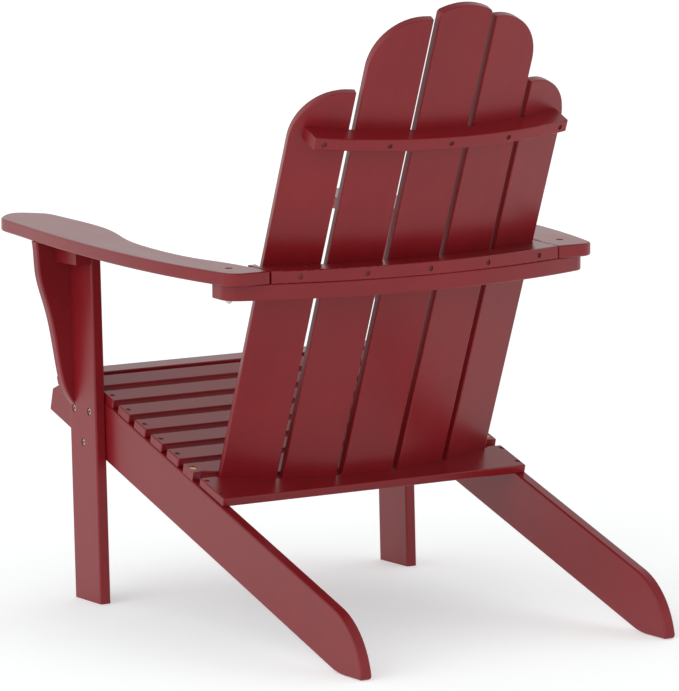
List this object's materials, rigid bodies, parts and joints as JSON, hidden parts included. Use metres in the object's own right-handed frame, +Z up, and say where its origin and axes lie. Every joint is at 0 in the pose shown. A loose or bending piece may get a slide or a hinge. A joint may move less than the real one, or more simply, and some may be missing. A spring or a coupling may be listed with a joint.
{
  "type": "adirondack chair",
  "caption": "Slatted wooden garden armchair with a low sloping seat, a curved reclined back of tall slats, broad flat arms and side boards that run down to the floor as rear feet.",
  "frame": {"origin": "on the floor, under the centre of the chair's outline", "axes": "+Z up; the sitter looks towards -Y; +X is the sitter's left"},
  "size_m": [0.7144, 1.0437, 0.9589],
  "materials": {
    "paint": "deep barn-red satin paint over planed softwood boards with eased edges",
    "bolt_steel": "zinc-plated, hex-socket heads sunk flush",
    "bright_screw": "yellow-passivated countersunk wood screws, left unpainted",
    "painted_screw": "countersunk wood screws, dulled with paint in their recesses"
  },
  "bodies": {
    "root": {"arm_bolt_nuts": "bolt_steel", "arm_bolt_washers": "bolt_steel", "arm_bolts": "bolt_steel", "arm_left": "paint", "arm_right": "paint", "arm_screws": "painted_screw", "back_brace": "paint", "back_slat_1": "paint", "back_slat_2": "paint", "back_slat_3": "paint", "back_slat_4": "paint", "back_slat_5": "paint", "brace_screws": "painted_screw", "bracket_left": "paint", "bracket_right": "paint", "bracket_screws": "painted_screw", "cleat_left": "paint", "cleat_right": "paint", "cleat_screws": "painted_screw", "crossbar_rear_screws": "painted_screw", "crossbar_top_screws": "bright_screw", "leg_bolt_nuts": "bolt_steel", "leg_bolt_washers": "bolt_steel", "leg_bolts": "bolt_steel", "leg_left": "paint", "leg_right": "paint", "lower_crossbar": "paint", "rear_board_screws": "painted_screw", "rear_seat_board": "paint", "seat_screws": "painted_screw", "seat_slat_1": "paint", "seat_slat_2": "paint", "seat_slat_3": "paint", "seat_slat_4": "paint", "seat_slat_5": "paint", "seat_slat_6": "paint", "seat_slat_7": "paint", "seat_slat_8": "paint", "shaped_seat_slat": "paint", "shaped_slat_screws": "bright_screw", "slat_foot_screws": "painted_screw", "stringer_left": "paint", "stringer_right": "paint", "upper_crossbar": "paint"}
  },
  "joints": []
}
